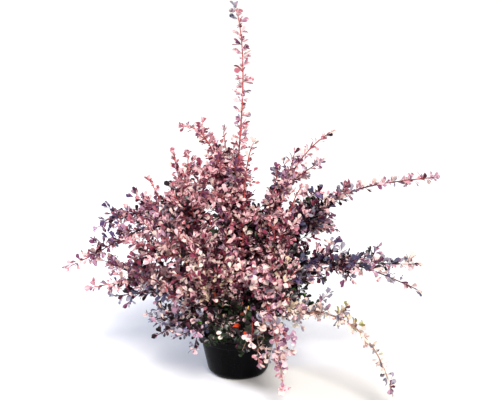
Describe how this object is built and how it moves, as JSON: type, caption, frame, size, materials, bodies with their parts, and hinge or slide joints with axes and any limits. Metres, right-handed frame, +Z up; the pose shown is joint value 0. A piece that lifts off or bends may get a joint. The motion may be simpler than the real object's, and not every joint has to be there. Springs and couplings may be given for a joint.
{
  "type": "potted rose glow japanese barberry",
  "caption": "Potted Japanese barberry shrub: arching canes with rose-mottled purple leaves rise from a woody foot in a round black nursery pot.",
  "frame": {"origin": "middle of the pot's flat underside", "axes": "+Z up the pot's axis, +X to the viewer's right, +Y away from the viewer"},
  "size_m": [0.9634, 0.7163, 0.9685],
  "materials": {
    "pot": "satin",
    "soil": "matte",
    "bark": "matte",
    "leaves": "satin"
  },
  "bodies": {
    "root": {"pot": "pot", "soil": "soil", "stool": "bark", "bough_leader": "bark", "foliage_leader": "leaves", "bough_upright_front": "bark", "foliage_upright_front": "leaves", "bough_upright_left": "bark", "foliage_upright_left": "leaves", "bough_upper_left": "bark", "foliage_upper_left": "leaves", "bough_left_rise": "bark", "foliage_left_rise": "leaves", "bough_left_fan": "bark", "foliage_left_fan": "leaves", "bough_left_high": "bark", "foliage_left_high": "leaves", "bough_left_arch": "bark", "foliage_left_arch": "leaves", "bough_left_level": "bark", "foliage_left_level": "leaves", "bough_left_low": "bark", "foliage_left_low": "leaves", "bough_left_front": "bark", "foliage_left_front": "leaves", "bough_upper_right": "bark", "foliage_upper_right": "leaves", "bough_right_high": "bark", "foliage_right_high": "leaves", "bough_right_back": "bark", "foliage_right_back": "leaves", "bough_right_arch": "bark", "foliage_right_arch": "leaves", "bough_right_front": "bark", "foliage_right_front": "leaves", "bough_front_right": "bark", "foliage_front_right": "leaves", "bough_front_droop": "bark", "foliage_front_droop": "leaves", "bough_back_high": "bark", "foliage_back_high": "leaves", "bough_back_right": "bark", "foliage_back_right": "leaves", "bough_back": "bark", "foliage_back": "leaves", "bough_back_left": "bark", "foliage_back_left": "leaves", "foliage_inner_left": "leaves", "foliage_inner_right": "leaves", "foliage_inner_back": "leaves", "foliage_front_middle": "leaves", "foliage_front_left": "leaves", "foliage_front_right_high": "leaves", "foliage_front_right_middle": "leaves", "foliage_front_low": "leaves", "foliage_front_left_low": "leaves", "foliage_right_low": "leaves", "foliage_left_back_low": "leaves", "foliage_right_back_low": "leaves"}
  },
  "joints": []
}
